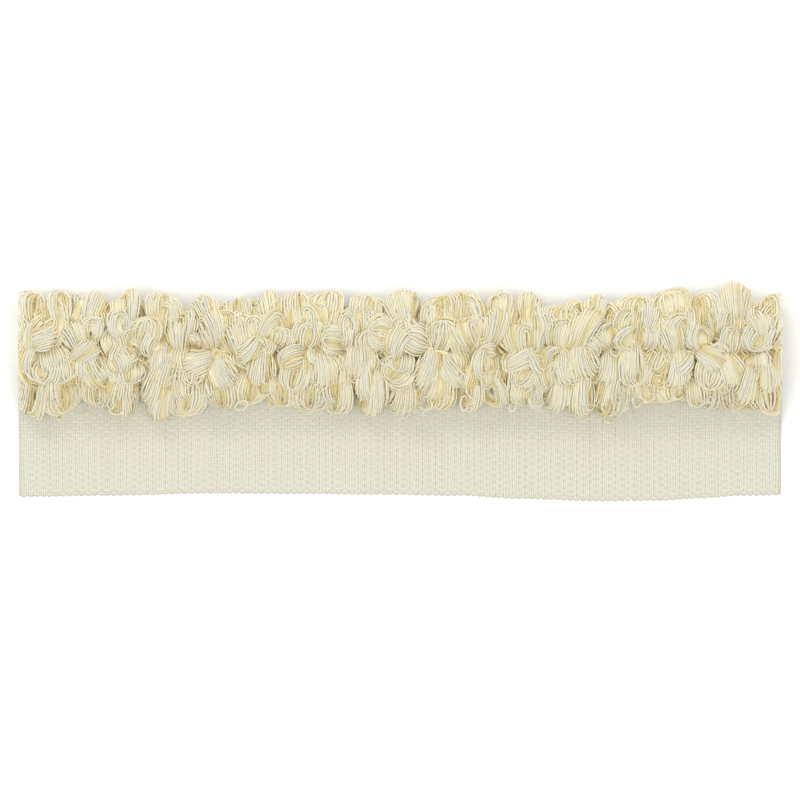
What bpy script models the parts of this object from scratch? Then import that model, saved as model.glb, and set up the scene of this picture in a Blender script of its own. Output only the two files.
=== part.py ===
"""Ruched trim on a woven flange tape: a cut length lying face up on a surface.

Metres, +Z up. X runs along the trim and +Y points from the tape towards the ruche.
The origin is at the centre of the whole length's footprint, on the surface that it lies on.
Two pieces are made: the flange tape, a flat woven band whose head is held inside the ruche,
and the ruche, a roll of packed yarn folded over that head, with rows of looped locks standing out.
While the pieces are shaped, y = 0 is the stitch line that the loops spring from.
"""

import math
import random

import bmesh
import bpy
from mathutils import Vector

MM = 0.001
CLEARANCE = 0.3 * MM
SEED = 7

# Whole length
LENGTH = 125.7 * MM
SCALLOPS = 23
PITCH = LENGTH / SCALLOPS

# Flange tape
TAPE_THICKNESS = 1.0 * MM
TAPE_HEAD = 2.4 * MM
TAPE_STEPS_ALONG = SCALLOPS
TAPE_FLAT_FROM = -15.0 * MM
TAPE_HELD_FROM = -2.0 * MM
TAPE_HELD_HEIGHT = 4.2 * MM
TAPE_RISING_STEPS = 10

# Roll of packed yarn that the loops stand out of
ROLL_HALF_WIDTH = 6.0 * MM
ROLL_MIDDLE_HEIGHT = 4.3 * MM
ROLL_RISE = 4.7 * MM
ROLL_SIDES = 12
ROLL_STEPS = SCALLOPS
ROLL_LUMP = 0.07
LUMP_COLUMNS = ("pitches", "swirl", "share")
LUMPS = (
    (1.0, 2.0, 0.6),
    (3.7, -3.0, 0.4),
)
MOUTH_BELOW = math.radians(28)
MOUTH_ABOVE = math.radians(10)

# Locks: each is one bundle of looped yarn, a flat petal pinched at its root and round at its tip.
# Along a lock, share goes from its root to its tip, with its width and thickness over their full sizes.
LOCK_ROOT_DEPTH = 1.1 * MM
LOCK_SPREAD = 0.2 * MM
LOCK_LENGTHS = (0.88, 1.06)
LOCK_COLUMNS = ("share", "wide", "thick")
LOCK = (
    (0.0, 0.42, 0.80),
    (0.35, 0.86, 1.00),
    (0.65, 1.00, 1.00),
    (0.88, 0.78, 0.80),
    (1.0, 0.36, 0.45),
)

CREAM = (0.76, 0.70, 0.50, 1.0)
IVORY = (0.80, 0.78, 0.66, 1.0)

# How far the ruche reaches from the stitch line, in mm: one row for each scallop, left to right
REACH_COLUMNS = ("top", "low")
REACH = (
    (10.2, 11.1),
    (10.2, 11.1),
    (9.7, 9.7),
    (9.9, 11.2),
    (9.6, 11.6),
    (8.3, 11.4),
    (8.9, 9.9),
    (9.9, 9.1),
    (10.2, 10.2),
    (10.2, 11.2),
    (9.7, 10.6),
    (9.6, 10.4),
    (9.6, 10.2),
    (10.2, 9.4),
    (9.7, 9.2),
    (9.6, 9.7),
    (7.9, 10.2),
    (8.9, 11.6),
    (9.4, 9.7),
    (10.6, 8.6),
    (9.7, 9.7),
    (10.7, 10.7),
    (9.7, 11.2),
)

# The tape's lower edge, in mm: distance along the trim from its left end, and from the stitch line
EDGE_COLUMNS = ("along", "edge")
EDGE = (
    (0.0, 24.1),
    (13.4, 23.9),
    (33.5, 23.5),
    (46.4, 23.6),
    (59.6, 23.7),
    (72.8, 23.9),
    (82.7, 24.4),
    (95.9, 24.8),
    (105.8, 24.7),
    (112.4, 24.3),
    (119.0, 23.9),
    (125.7, 23.8),
)

# Rows of locks round the roll. Angles are in degrees from +Y towards +Z, sizes in mm.
# A lock leaves its root along aim and has turned by bend at its tip. Its length is given, or follows
# from how far its edge of the ruche reaches. turn is the range of the twist of its flat side.
ROW_COLUMNS = ("name", "root", "aim", "bend", "edge", "length", "wide", "thick", "turn", "offset")
ROWS = (
    ("top_rim", 38, 40, -64, "top", None, 4.9, 1.6, (-28, 28), 0.5),
    ("top_under", -20, -2, -18, "top", None, 4.6, 1.5, (-10, 10), 1.0),
    ("front_upper", 86, 52, -56, None, 6.9, 4.9, 1.6, (-40, 40), 1.0),
    ("front_lower", 97, 128, 56, None, 7.0, 4.9, 1.6, (-40, 40), 0.5),
    ("low_rim", 146, 146, 70, "low", None, 4.9, 1.6, (-25, 25), 1.0),
)


def column(table, names, name):
    return [row[names.index(name)] for row in table]


def eased(stations, values, at):
    """The value at a place between stations, passing smoothly from one to the next."""
    if at <= stations[0]:
        return values[0]
    for low, high, first, second in zip(stations, stations[1:], values, values[1:]):
        if at <= high:
            share = (at - low) / (high - low)
            return first + (second - first) * (1 - math.cos(math.pi * share)) / 2
    return values[-1]


def reach_at(along, edge):
    """How far the ruche reaches from the stitch line at a distance from the left end."""
    middles = [(k + 0.5) * PITCH for k in range(SCALLOPS)]
    return eased(middles, column(REACH, REACH_COLUMNS, edge), along) * MM


def tape_edge(along):
    """The tape's lower edge, as a distance from the stitch line."""
    return eased(column(EDGE, EDGE_COLUMNS, "along"), column(EDGE, EDGE_COLUMNS, "edge"), along / MM) * MM


def tape_height(y):
    """Height of the tape's middle: flat on the surface, then rising into the ruche."""
    low = TAPE_THICKNESS / 2
    share = (y - TAPE_FLAT_FROM) / (TAPE_HELD_FROM - TAPE_FLAT_FROM)
    share = min(max(share, 0.0), 1.0)
    return low + (TAPE_HELD_HEIGHT - low) * share * share * (3 - 2 * share)


def rising_stations():
    """Distances from the stitch line, from where the tape starts to rise up to its head."""
    step = (TAPE_HEAD - TAPE_FLAT_FROM) / TAPE_RISING_STEPS
    return [TAPE_FLAT_FROM + step * k for k in range(TAPE_RISING_STEPS + 1)]


def beside_tape(y, offset):
    """A point of the section beside the tape's middle line, square to it."""
    behind = Vector((0.0, y - CLEARANCE, tape_height(y - CLEARANCE)))
    ahead = Vector((0.0, y + CLEARANCE, tape_height(y + CLEARANCE)))
    square = Vector((1.0, 0.0, 0.0)).cross(ahead - behind).normalized()
    return (behind + ahead) / 2 + square * offset


def material(name, colour, roughness):
    made = bpy.data.materials.new(name)
    made.use_nodes = True
    shader = made.node_tree.nodes["Principled BSDF"]
    shader.inputs["Base Color"].default_value = colour
    shader.inputs["Roughness"].default_value = roughness
    shader.inputs["Metallic"].default_value = 0.0
    return made


def add_object(name, mesh, finish, collection=None):
    mesh.materials.append(finish)
    made = bpy.data.objects.new(name, mesh)
    (collection or bpy.context.scene.collection).objects.link(made)
    return made


def skin(rings):
    """A closed mesh from rings of points: side faces between neighbouring rings, and a face on each end."""
    bm = bmesh.new()
    loops = [[bm.verts.new(point) for point in ring] for ring in rings]
    for first, second in zip(loops, loops[1:]):
        for k in range(len(first)):
            after = (k + 1) % len(first)
            bm.faces.new((first[k], first[after], second[after], second[k]))
    bm.faces.new(list(reversed(loops[0])))
    bm.faces.new(loops[-1])
    bmesh.ops.recalc_face_normals(bm, faces=bm.faces)
    bmesh.ops.triangulate(bm, faces=bm.faces)
    mesh = bpy.data.meshes.new("skin")
    bm.to_mesh(mesh)
    bm.free()
    return mesh


def make_tape(finish):
    """One woven band: its outline's lower edge wanders as cloth does, and its head runs into the ruche."""
    bm = bmesh.new()
    grid = []
    for i in range(TAPE_STEPS_ALONG + 1):
        along = LENGTH * i / TAPE_STEPS_ALONG
        edge = -tape_edge(along)
        places = [edge, (edge + TAPE_FLAT_FROM) / 2] + rising_stations()
        grid.append([bm.verts.new((along - LENGTH / 2, y, tape_height(y))) for y in places])
    for first, second in zip(grid, grid[1:]):
        for k in range(len(first) - 1):
            bm.faces.new((first[k], second[k], second[k + 1], first[k + 1]))
    mesh = bpy.data.meshes.new("flange_tape")
    bm.to_mesh(mesh)
    bm.free()
    tape = add_object("flange_tape", mesh, finish)
    thicken = tape.modifiers.new("thickness", "SOLIDIFY")
    thicken.thickness = TAPE_THICKNESS
    thicken.offset = 0.0
    return tape


def lump(x, angle):
    """A gentle unevenness of the roll's surface, as packed yarn has: its size there over its mean size."""
    waves = 0.0
    for pitches, swirl, share in LUMPS:
        waves += share * math.sin(2 * math.pi * x / (pitches * PITCH) + swirl * angle)
    return 1.0 + ROLL_LUMP * waves


def roll_ring(x):
    """The roll's section at x: a rounded outline with a flat foot, and the slot that holds the tape's head."""
    start = math.pi + MOUTH_BELOW
    span = 2 * math.pi - MOUTH_BELOW - MOUTH_ABOVE
    points = []
    for k in range(ROLL_SIDES + 1):
        angle = start + span * k / ROLL_SIDES
        size = lump(x, angle)
        y = ROLL_HALF_WIDTH * math.cos(angle) * size
        z = ROLL_MIDDLE_HEIGHT + ROLL_RISE * math.sin(angle) * size
        points.append(Vector((x, y, max(z, 0.0))))
    half = TAPE_THICKNESS / 2 + CLEARANCE
    mouth = -ROLL_HALF_WIDTH * math.cos(MOUTH_BELOW) * (1 - ROLL_LUMP)
    inner = [y for y in rising_stations() if mouth < y < 0.0] + [TAPE_HEAD + CLEARANCE]
    across = Vector((x, 0.0, 0.0))
    points += [across + beside_tape(y, half) for y in inner]
    points += [across + beside_tape(y, -half) for y in reversed(inner)]
    return points


def bent_line(root, aim, bend, length):
    """Points along a lock, one for each of its sections, which turns steadily from its root to its tip."""
    shares = column(LOCK, LOCK_COLUMNS, "share")
    points = [root]
    for first, second in zip(shares, shares[1:]):
        angle = aim + bend * (first + second) / 2
        out = Vector((0.0, math.cos(angle), math.sin(angle)))
        points.append(points[-1] + out * length * (second - first))
    return points


def lock_mesh(points, wide, thick, turn, spread):
    """A four-sided flat petal along the points: its flat side twists by turn and its tip leans sideways."""
    rings = []
    for k, (share, width, depth) in enumerate(LOCK):
        before = points[max(k - 1, 0)]
        after = points[min(k + 1, len(points) - 1)]
        along = (after - before).normalized()
        side = Vector((1.0, 0.0, 0.0))
        normal = along.cross(side)
        angle = turn * share
        flat = (side * math.cos(angle) + normal * math.sin(angle)) * wide * width / 2
        edge = (normal * math.cos(angle) - side * math.sin(angle)) * thick * depth / 2
        middle = points[k] + side * spread * share
        rings.append([middle + flat, middle + edge, middle - flat, middle - edge])
    return skin(rings)


def make_row(row, finish, collection, draw):
    """One row of locks along the roll, each twisted and leaned a little differently."""
    values = dict(zip(ROW_COLUMNS, row))
    foot = math.radians(values["root"])
    aim = math.radians(values["aim"])
    bend = math.radians(values["bend"])
    count = int(SCALLOPS - values["offset"] + 0.5)
    for k in range(count):
        along = (k + values["offset"]) * PITCH
        surface = Vector((along - LENGTH / 2, ROLL_HALF_WIDTH * math.cos(foot),
                          ROLL_MIDDLE_HEIGHT + ROLL_RISE * math.sin(foot)))
        root = surface - Vector((0.0, math.cos(foot), math.sin(foot))) * LOCK_ROOT_DEPTH
        if values["edge"]:
            reach = bent_line(Vector(), aim, bend, 1.0)[-1].y
            length = (reach_at(along, values["edge"]) - abs(root.y)) / abs(reach)
        else:
            length = values["length"] * MM * draw.uniform(*LOCK_LENGTHS)
        turn = math.radians(draw.uniform(*values["turn"]))
        spread = draw.uniform(-LOCK_SPREAD, LOCK_SPREAD)
        points = bent_line(root, aim, bend, length)
        mesh = lock_mesh(points, values["wide"] * MM, values["thick"] * MM, turn, spread)
        add_object(f"{values['name']}_{k:02d}", mesh, finish, collection)


def make_ruche(finish):
    """The yarn roll with every lock's root fused into it."""
    stations = [LENGTH * (i / ROLL_STEPS - 0.5) for i in range(ROLL_STEPS + 1)]
    mesh = skin([roll_ring(x) for x in stations])
    ruche = add_object("looped_ruche", mesh, finish)
    locks = bpy.data.collections.new("locks")
    bpy.context.scene.collection.children.link(locks)
    draw = random.Random(SEED)
    for row in ROWS:
        make_row(row, finish, locks, draw)
    for lock in locks.objects:
        lock.hide_render = True
        lock.display_type = "WIRE"
    fuse = ruche.modifiers.new("fuse_locks", "BOOLEAN")
    fuse.operation = "UNION"
    fuse.solver = "EXACT"
    fuse.operand_type = "COLLECTION"
    fuse.collection = locks
    return ruche


def centre(pieces):
    """Moves everything so that the footprint's centre is over the origin."""
    bpy.context.view_layer.update()
    graph = bpy.context.evaluated_depsgraph_get()
    corners = [Vector(corner) for piece in pieces for corner in piece.evaluated_get(graph).bound_box]
    for axis in range(2):
        middle = (min(c[axis] for c in corners) + max(c[axis] for c in corners)) / 2
        for made in bpy.data.objects:
            made.location[axis] -= middle


def main():
    for old in list(bpy.data.objects):
        bpy.data.objects.remove(old, do_unlink=True)
    yarn = material("looped_yarn", CREAM, 0.85)
    cloth = material("tape_cloth", IVORY, 0.9)
    tape = make_tape(cloth)
    ruche = make_ruche(yarn)
    centre([tape, ruche])


main()
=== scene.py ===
"""Looks of the ruched trim: some thousands of yarn loops sewn in bundles along a woven flange tape.

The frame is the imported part's: metres, X along the trim, +Y towards the ruche, +Z up.
Shapes are worked out in millimetres from the stitch line, where y is 0, and then placed in that frame.
"""

from itertools import product
import math
import random

import bpy
import numpy as np
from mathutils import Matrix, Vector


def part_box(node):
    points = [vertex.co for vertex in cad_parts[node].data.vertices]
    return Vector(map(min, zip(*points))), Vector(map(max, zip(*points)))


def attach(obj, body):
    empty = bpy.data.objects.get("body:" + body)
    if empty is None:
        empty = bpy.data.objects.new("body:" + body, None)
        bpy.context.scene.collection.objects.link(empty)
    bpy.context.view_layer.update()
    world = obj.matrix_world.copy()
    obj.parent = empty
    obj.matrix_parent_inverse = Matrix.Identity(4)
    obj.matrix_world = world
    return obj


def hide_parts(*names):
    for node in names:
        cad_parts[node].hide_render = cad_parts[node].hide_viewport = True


MM = 0.001
SEED = 11
UP = np.array([0.0, 0.0, 1.0])

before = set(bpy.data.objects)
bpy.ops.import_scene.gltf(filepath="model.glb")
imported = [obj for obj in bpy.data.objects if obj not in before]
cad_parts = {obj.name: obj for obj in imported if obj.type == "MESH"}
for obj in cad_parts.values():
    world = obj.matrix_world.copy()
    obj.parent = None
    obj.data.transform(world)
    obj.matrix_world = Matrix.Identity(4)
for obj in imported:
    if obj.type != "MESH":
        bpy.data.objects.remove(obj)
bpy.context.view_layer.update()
_, tape_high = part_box("flange_tape")
ruche_low, ruche_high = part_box("looped_ruche")

# Sizes in mm. The tape's head passes this far beyond the stitch line.
TAPE_HEAD = 2.4
LENGTH = (ruche_high.x - ruche_low.x) / MM
STITCH_Y = tape_high.y / MM - TAPE_HEAD
HALF = LENGTH / 2

# The middle of the tape's thickness: its height on the surface, its height where the ruche holds it,
# and the two distances from the stitch line between which it rises, which takes up a little more cloth
TAPE_MIDDLE = 0.2
TAPE_HELD_HEIGHT = 4.2
TAPE_RISES_FROM = -15.0
TAPE_HELD_FROM = -2.0
CUT_FOR_RISE = 0.5

# Weave: warp yarns along the trim up to this distance from the stitch line, and double picks across them.
# Widths differ from yarn to yarn by shares, and yarns waver a little from straight.
WOVEN_TO = -3.6
WARP_PITCH = 0.53
PICK_PITCH = 1.06
PICK_SHIFT = 0.04
WARP_HALF_WIDTH = 0.215
WARP_WIDTHS = (0.92, 1.06)
WEFT_HALF_WIDTH = 0.25
WEFT_WIDTHS = (0.9, 1.08)
WEFT_OFFSET = 0.2
TAPE_YARN_HALF_HEIGHT = 0.09
TAPE_YARN_WAVER = 0.03

# The outermost warp follows the edge as it wanders, and the innermost has lost this share of its wandering
WANDER_LOST = 0.6

# Yarns pass over and under by this height. The picks lie a share of it nearer to the face.
INTERLACE = 0.035
OVER_AND_UNDER = 0.8
TOWARD_FACE = 0.3

# A pick turns back this far outside the outermost warp, in pitches
PICK_TURN = -0.6

# The ground is a thin sheet within the weave, a little inside its edges
GROUND_THICKNESS = 0.06
GROUND_INSET = 0.3
GROUND_END_INSET = 0.1
GROUND_LINES = 80
GROUND_POINTS = 40

# The tape's lower edge: distance along the trim from its left end, and from the stitch line
EDGE_COLUMNS = ("along", "edge")
EDGE = (
    (0.0, 24.1),
    (13.4, 23.9),
    (33.5, 23.5),
    (46.4, 23.6),
    (59.6, 23.7),
    (72.8, 23.9),
    (82.7, 24.4),
    (95.9, 24.8),
    (105.8, 24.7),
    (112.4, 24.3),
    (119.0, 23.9),
    (125.7, 23.8),
)

# How far the ruche reaches above and below the stitch line, in equal steps along the trim
REACH_COLUMNS = ("top", "low")
REACH = (
    (10.2, 11.1),
    (10.2, 11.1),
    (9.7, 9.7),
    (9.9, 11.2),
    (9.6, 11.6),
    (8.3, 11.4),
    (8.9, 9.9),
    (9.9, 9.1),
    (10.2, 10.2),
    (10.2, 11.2),
    (9.7, 10.6),
    (9.6, 10.4),
    (9.6, 10.2),
    (10.2, 9.4),
    (9.7, 9.2),
    (9.6, 9.7),
    (7.9, 10.2),
    (8.9, 11.6),
    (9.4, 9.7),
    (10.6, 8.6),
    (9.7, 9.7),
    (10.7, 10.7),
    (9.7, 11.2),
)

# Yarn: the radius at which neighbours press on each other, and the share of it that the tube has
CREAM_RADIUS = 0.175
GOLD_RADIUS = 0.155
TUBE_SHARE = 0.88
TUBE_SIDES = 4

# Points of a loop while it settles, how many of them make one step of its tube, the fewest that
# a stretch has after a loop is cut through at the trim's end, and the most yarns in one piece
LOOP_POINTS = 33
TUBE_STEP = 2
SHORTEST_STRETCH = 8
YARNS_IN_PIECE = 1500

# A yarn swells and thins by this share along its loop, from a drawn start on through these radians
SLUB = 0.12
SLUB_STARTS = (0.0, 6.3)
SLUB_RADIANS = 11.0

# Painted shade: yarn is coloured warmer the lower it lies, standing in for the golden shade between the
# yarns:
# over this depth in mm below the ruche's top, and by these shares for the lower yarns of a rose,
# for the packed fibre and on a tube's underside
PAINTED_SHADE_DEPTH = 1.3
LOWER_PAINTED_SHADE = 0.8
FELT_PAINTED_SHADE = 0.5
UNDERSIDE_PAINTED_SHADE = 0.4

# The ruche's rounded top: half its width, its height at the rim and its rise above that
RUCHE_HALF_WIDTH = 10.9
RIM_HEIGHT = 2.2
CROWN_RISE = 8.2

# Bundles are pinched and sewn at this many places along the stitch line, each shifted along it by
# a share of their pitch and off it by a share of the wander, to either side in turn
PINCHES = 17
PINCH_SHIFT = 0.2
PINCH_WANDER = 1.3
PINCH_WANDER_SHARES = (0.1, 1.0)
PINCH_HEIGHT = 6.2

# Rows of petals. phase shifts a row along the trim by a share of its pitch, root_y is the root's distance
# from the stitch line, and pull is how far the root is drawn to the nearest pinch.
# reach is the crown's distance from the stitch line, or what is added to the distance that edge names.
# depth is how far the petal lies below the ruche's top, None for the flat ones on the surface,
# tuck how far its crown is folded in and down, gold the share of gold yarns, and shows if it can be seen.
ROW_COLUMNS = (
    "name", "toward", "count", "phase", "root_y", "pull", "edge", "reach", "depth", "tuck", "size", "gold",
    "shows")
ROWS = (
    ("back_top", "top", 23, 0.0, 1.0, 0.3, "top", -1.0, 5.2, 0.2, 1.0, 0.2, False),
    ("back_flat", "top", 22, 0.5, -4.0, 0.3, None, 6.4, None, 0.0, 0.9, 0.2, False),
    ("under_low", "low", 22, 0.5, 1.5, 0.3, "low", -0.6, 2.6, 0.3, 0.9, 0.4, False),
    ("under_top", "top", 22, 0.5, 0.0, 0.1, None, 8.0, 2.4, 0.2, 1.1, 0.5, True),
    ("under_mid", "low", 22, 0.0, -0.6, 0.1, None, 6.2, 2.0, 0.2, 1.1, 0.5, True),
    ("rim_top", "top", 23, 0.0, 3.0, 0.2, "top", 0.0, 1.3, 1.0, 1.05, 0.2, True),
    ("rim_low", "low", 25, 0.1, 3.0, 0.2, "low", 0.1, 1.2, 0.8, 1.05, 0.2, True),
    ("fill_top", "top", 22, 0.5, 1.6, 0.5, "top", -2.0, 1.1, 0.5, 1.0, 0.25, True),
    ("fill_low", "low", 22, 0.6, 1.6, 0.5, "low", -2.2, 1.1, 0.5, 1.0, 0.25, True),
    ("inner_top", "top", 23, 0.25, -1.2, 0.3, None, 4.4, 0.5, 0.3, 1.0, 0.15, True),
    ("inner_low", "low", 23, 0.75, -1.2, 0.3, None, 4.6, 0.5, 0.3, 1.0, 0.15, True),
    ("front_top", "top", 24, 0.7, 0.0, 0.6, None, 6.3, 0.2, 0.4, 1.0, 0.15, True),
    ("front_low", "low", 24, 0.2, 0.0, 0.6, None, 6.4, 0.2, 0.4, 1.0, 0.15, True),
)

# How petals of a row differ: their place by a share of the pitch, their size, where the root lies
# along and across and the middle along, the crown's reach beyond an edge or as a share, and how far
# the petal is raised
PETAL_SHIFT = 0.25
PETAL_SIZES = (0.85, 1.12)
ROOT_WANDER = (1.5, 0.9)
MIDDLE_WANDER = 1.2
EDGE_RAGGED = (-0.3, 0.1)
REACH_SHARES = (0.86, 1.1)
PETAL_RAISED = (-0.5, 0.4)

# Heights of a petal that lies flat under the roll, at its root, middle and crown
FLAT_HEIGHTS = (2.4, 1.7, 1.2)

# A petal's root, middle and crown lie this far below its top, but no crown lower than the last value
ROOT_BELOW = 2.2
MIDDLE_BELOW = 0.5
CROWN_BELOW = 0.8
LOWEST_CROWN = 1.2

# A fully tucked crown is drawn in and down, and its middle goes out
TUCK_IN = 0.4
TUCK_DOWN = 1.6
TUCK_OUT = 1.2

# Petals that lie over the parting: how many, their shift along it by a share of their pitch, their
# length and their distance from it, and the spread of their headings from straight along in degrees
CROSSINGS = 18
CROSSING_SHIFT = 0.3
CROSSING_LENGTH = 5.0
CROSSING_WANDER = 2.6
CROSSING_SPREAD = 75

# Small upright bundles over the pinches
BUDS = 10
BUD_LENGTH = 2.4
BUD_HEIGHT = 3.6
BUD_WANDER = (2.5, 1.5)

# Kinds of bundle: half the loop's width, the spacing and number of yarns in and across its plane,
# the turn of that plane to either side, how far the inner loops gather about the middle instead of
# the root, and the loops that fill the upper face. A rose lies flat to the eye and winds inwards,
# and a coil is slanted like a spring.
KIND_COLUMNS = (
    "share", "half", "levels", "level_pitch", "layers", "layer_pitch", "turn", "fan", "centred", "face")
KINDS = {
    "rose": (0.52, 3.0, 6, 0.50, 2, 0.36, (0, 22), 0.6, 0.85, 0),
    "half": (0.14, 2.2, 3, 0.46, 5, 0.48, (20, 50), 0.7, 0.3, 0),
    "coil": (0.34, 1.7, 1, 0.46, 11, 0.46, (48, 80), 0.8, 0.15, 3),
}

# How bundles of a kind differ: their width, the twist of their plane in degrees, how far each inner
# level rises, and how quickly they fan out of the pinch. Inner loops follow the twist by a share.
WIDTH_SHARES = (0.9, 1.12)
TWIST = 30
INNER_TWIST = 0.5
DOME = (0.02, 0.12)
FAN_SHARES = (0.8, 1.25)

# How yarns of a bundle differ: their shift in and across its plane, their reach, the reach of the
# few that stray, and how far they wander. NARROWEST is the least half width of an inner loop.
SHIFT_IN = 0.07
SHIFT_ACROSS = 0.13
REACHES = (0.985, 1.01)
STRAYS = 0.02
STRAY_REACHES = (1.03, 1.08)
WOBBLE = 0.24
NARROWEST = 0.25

# The outer layers of a bundle reach less far and lie lower, which rounds it off, in full where it has
# this many layers. Where loops gather about the middle, crown and root lie lower: the bundle is cupped.
ROUND_LAYERS = 9
ROUND_SHORTER = 0.18
ROUND_LOWER = 0.9
CUPPED = 0.5

# Tone: the share that a bundle's yarns have in common
TONE_IN_COMMON = 0.45

# Gold yarns of a bundle: their number about its share, and how often they are the inmost ones
GOLD_SHARES = (0.4, 1.6)
GOLD_INMOST = 0.55

# Packed fibre under the yarns of a bundle: how far it lies within them and how thick it is
FELT_WITHIN = 0.3
FELT_THICKNESS = 0.14

# Single yarns that have slipped out of their bundles: how many, the shares by the lower rim and of gold,
# the radius of their curl and its width as a share of that, and the lean of their plane in degrees
CURLS = 30
CURLS_LOW = 0.6
CURLS_GOLD = 0.15
CURL_RADII = (0.8, 1.7)
CURL_WIDTHS = (0.4, 0.8)
CURL_LEANS = (15, 60)

# Fuzz: fibres all over, fibres in each patch by the lower rim, patches, a patch's half width,
# and a fibre's radius, lengths and points
FUZZ = 1900
FUZZ_IN_PATCH = 220
FUZZ_PATCHES = 7
FUZZ_SPREAD = 1.9
FIBRE_RADIUS = 0.032
FIBRE_LENGTHS = (0.6, 1.7)
FIBRE_POINTS = 5

# Yarns that run along the inside of the roll, where the bundles pass from one pinch to the next:
# how many lie at each radius, and the length of one turn of theirs about each other
FEED_COLUMNS = ("count", "radius", "lead")
FEED = (
    (7, 0.7, 16.0),
    (13, 1.5, 21.0),
    (18, 2.3, 27.0),
)

# The inside of the roll is flattened, and its yarns are thicker than the others
FEED_WIDER = 1.25
FEED_FLATTER = 0.62
FEED_THICKER = 1.2
FEED_POINTS = 110

# None comes nearer to the surface than the gap, and beyond the rim's start all stay on the face of the
# tape.
ROUNDS = 12
SURFACE_GAP = 0.02
RIM_START = TAPE_RISES_FROM / 2

# Colours of each yarn: at its palest, at its dullest, and the painted shade colour it takes lower down and
# on its underside
CREAM = ((0.73, 0.725, 0.65), (0.72, 0.70, 0.595), (0.93, 0.86, 0.63))
GOLD = ((0.74, 0.67, 0.43), (0.72, 0.625, 0.35), (0.84, 0.72, 0.39))
STRAW = ((0.92, 0.86, 0.64), (0.90, 0.82, 0.57), (0.92, 0.83, 0.57))
LOOSE = ((0.93, 0.92, 0.82), (0.90, 0.88, 0.75), (0.90, 0.86, 0.70))
IVORY = ((0.735, 0.725, 0.62), (0.71, 0.695, 0.58), (0.715, 0.685, 0.54))
BACKING = ((0.74, 0.72, 0.60), (0.71, 0.69, 0.56), (0.72, 0.69, 0.54))

# Finishes. ply is the length of one wind of the plies, groove the depth between them and blotch the size
# of the colour patches, all in mm, and glow the share of light that passes into the yarn.
FINISH_COLUMNS = ("name", "colours", "roughness", "sheen", "ply", "groove", "blotch", "glow")
FINISHES = {
    "cream": ("cream_yarn", CREAM, 0.8, 0.5, 1.1, 0.025, 6.0, 1.0),
    "gold": ("gold_yarn", GOLD, 0.42, 0.3, 1.6, 0.02, 5.0, 1.0),
    "straw": ("packed_fibre", STRAW, 0.9, 0.3, 0.5, 0.03, 1.5, 1.0),
    "loose": ("loose_fibre", LOOSE, 0.9, 0.3, 0.5, 0.01, 1.5, 0.0),
    "tape": ("tape_yarn", IVORY, 0.85, 0.3, 0.9, 0.03, 9.0, 0.0),
    "ground": ("tape_ground", BACKING, 0.9, 0.0, 1.0, 0.02, 9.0, 0.0),
}

# How deep light passes into a yarn in mm, and what all yarns have in common
GLOW_DEPTH = 0.12
SHEEN_ROUGHNESS = 0.4
SHEEN_TINT = (1.0, 0.96, 0.84, 1.0)
SPECULAR = 0.3
GROOVE_STRENGTH = 0.5
GROOVE_UNEVEN = 0.6
DULL_AT = 0.3

FLOOR_SIZE = 6.0
FLOOR_COLOUR = (1.0, 1.0, 0.995, 1.0)
FLOOR_ROUGHNESS = 0.9

# Light from all round, and soft lamps: side in m, energy in W and place in m
WORLD_STRENGTH = 0.72
LAMP_COLUMNS = ("name", "side", "energy", "place")
LAMPS = (
    ("left", 0.5, 2.5, (-0.32, -0.1, 1.15)),
    ("right", 0.5, 2.5, (0.32, -0.1, 1.15)),
    ("key", 0.4, 2.2, (-0.2, 0.6, 0.85)),
)
DIFFUSE_BOUNCES = 12
ALL_BOUNCES = 16

# View from straight above, in m: the width seen, the distance, the middle of the view and the nearest
# place seen. The sensor's width is in mm.
VIEW_WIDTH = 0.132
VIEW_DISTANCE = 1.3
VIEW_Y = -0.00124
VIEW_FROM = 0.01
SENSOR_WIDTH = 36.0


def column(table, names, name):
    return [row[names.index(name)] for row in table]


def named_rows(table, names):
    """A table's rows with each value under its column's name."""
    return [dict(zip(names, row)) for row in table]


def kind_values(kind):
    return dict(zip(KIND_COLUMNS, KINDS[kind]))


def eased(stations, values, at):
    """Values between stations, passing smoothly from one to the next."""
    at = np.asarray(at, float)
    before = np.clip(np.searchsorted(stations, at) - 1, 0, len(stations) - 2)
    stations = np.asarray(stations, float)
    values = np.asarray(values, float)
    share = np.clip((at - stations[before]) / (stations[before + 1] - stations[before]), 0, 1)
    smooth = (1 - np.cos(math.pi * share)) / 2
    return values[before] + (values[before + 1] - values[before]) * smooth


def tape_edge(x):
    """The tape's lower edge at x, as a distance from the stitch line."""
    return eased(column(EDGE, EDGE_COLUMNS, "along"), column(EDGE, EDGE_COLUMNS, "edge"), x + HALF)


def reach_at(x, edge):
    """How far the ruche reaches from the stitch line at x."""
    pitch = LENGTH / len(REACH)
    middles = [(k + 0.5) * pitch for k in range(len(REACH))]
    return float(eased(middles, column(REACH, REACH_COLUMNS, edge), x + HALF))


def tape_height(y):
    """Height of the tape's middle at a distance from the stitch line."""
    share = np.clip((y - TAPE_RISES_FROM) / (TAPE_HELD_FROM - TAPE_RISES_FROM), 0.0, 1.0)
    return TAPE_MIDDLE + (TAPE_HELD_HEIGHT - TAPE_MIDDLE) * share * share * (3 - 2 * share)


def top_at(y):
    """Height of the ruche's rounded top at a distance from the stitch line."""
    return RIM_HEIGHT + CROWN_RISE * math.sqrt(max(0.0, 1 - (y / RUCHE_HALF_WIDTH) ** 2))


def place(points):
    """From millimetres about the stitch line to metres in the frame."""
    return (points + np.array([0.0, STITCH_Y, 0.0])) * MM


def unit(vectors):
    return vectors / np.maximum(np.linalg.norm(vectors, axis=-1, keepdims=True), 1e-9)


def heading_at(angle):
    """A level direction at an angle from straight along the trim."""
    return np.array([math.cos(angle), math.sin(angle), 0.0])


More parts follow.
